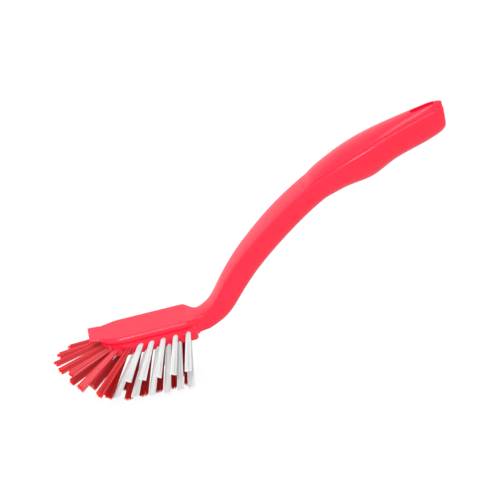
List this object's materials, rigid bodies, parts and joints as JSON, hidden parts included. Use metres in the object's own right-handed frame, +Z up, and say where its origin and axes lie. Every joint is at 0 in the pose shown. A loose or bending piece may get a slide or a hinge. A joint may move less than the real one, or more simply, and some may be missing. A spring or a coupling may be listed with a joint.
{
  "type": "dish brush",
  "caption": "Moulded dish brush: flat head with a scraper lip, stapled tufts of red and white bristles fanned round the nose, and a swept handle with a hanging eye.",
  "frame": {"origin": "on the ground under the middle of the brush's length and width: the centre of the bottom of its box", "axes": "+X along the brush from the scraper lip to the end of the handle, +Y across it, +Z up out of the head's flat top; the bristle tips stand at z = 0"},
  "size_m": [0.253, 0.061, 0.1398],
  "materials": {
    "body_plastic": "coral red polypropylene, satin gloss as moulded",
    "red_filament": "deep red filament bundles, faintly glossy along the strands",
    "white_filament": "off-white filament bundles, faintly translucent"
  },
  "bodies": {
    "root": {"brush_body": "body_plastic", "tuft_centre_far_1": "red_filament", "tuft_centre_far_2": "red_filament", "tuft_centre_far_3": "red_filament", "tuft_centre_far_4": "red_filament", "tuft_centre_far_5": "red_filament", "tuft_centre_near_1": "red_filament", "tuft_centre_near_2": "red_filament", "tuft_centre_near_3": "red_filament", "tuft_centre_near_4": "red_filament", "tuft_centre_near_5": "red_filament", "tuft_fan_lower_far_1": "red_filament", "tuft_fan_lower_far_2": "red_filament", "tuft_fan_lower_near_1": "red_filament", "tuft_fan_lower_near_2": "red_filament", "tuft_fan_middle": "red_filament", "tuft_fan_upper_far_1": "red_filament", "tuft_fan_upper_far_2": "red_filament", "tuft_fan_upper_far_3": "red_filament", "tuft_fan_upper_far_4": "red_filament", "tuft_fan_upper_near_1": "red_filament", "tuft_fan_upper_near_2": "red_filament", "tuft_fan_upper_near_3": "red_filament", "tuft_fan_upper_near_4": "red_filament", "tuft_inner_far_1": "white_filament", "tuft_inner_far_2": "white_filament", "tuft_inner_far_3": "white_filament", "tuft_inner_far_4": "white_filament", "tuft_inner_far_5": "white_filament", "tuft_inner_far_6": "white_filament", "tuft_inner_near_1": "white_filament", "tuft_inner_near_2": "white_filament", "tuft_inner_near_3": "white_filament", "tuft_inner_near_4": "white_filament", "tuft_inner_near_5": "white_filament", "tuft_inner_near_6": "white_filament", "tuft_outer_far_1": "white_filament", "tuft_outer_far_2": "white_filament", "tuft_outer_far_3": "white_filament", "tuft_outer_far_4": "white_filament", "tuft_outer_far_5": "white_filament", "tuft_outer_near_1": "white_filament", "tuft_outer_near_2": "white_filament", "tuft_outer_near_3": "white_filament", "tuft_outer_near_4": "white_filament", "tuft_outer_near_5": "white_filament"}
  },
  "joints": []
}
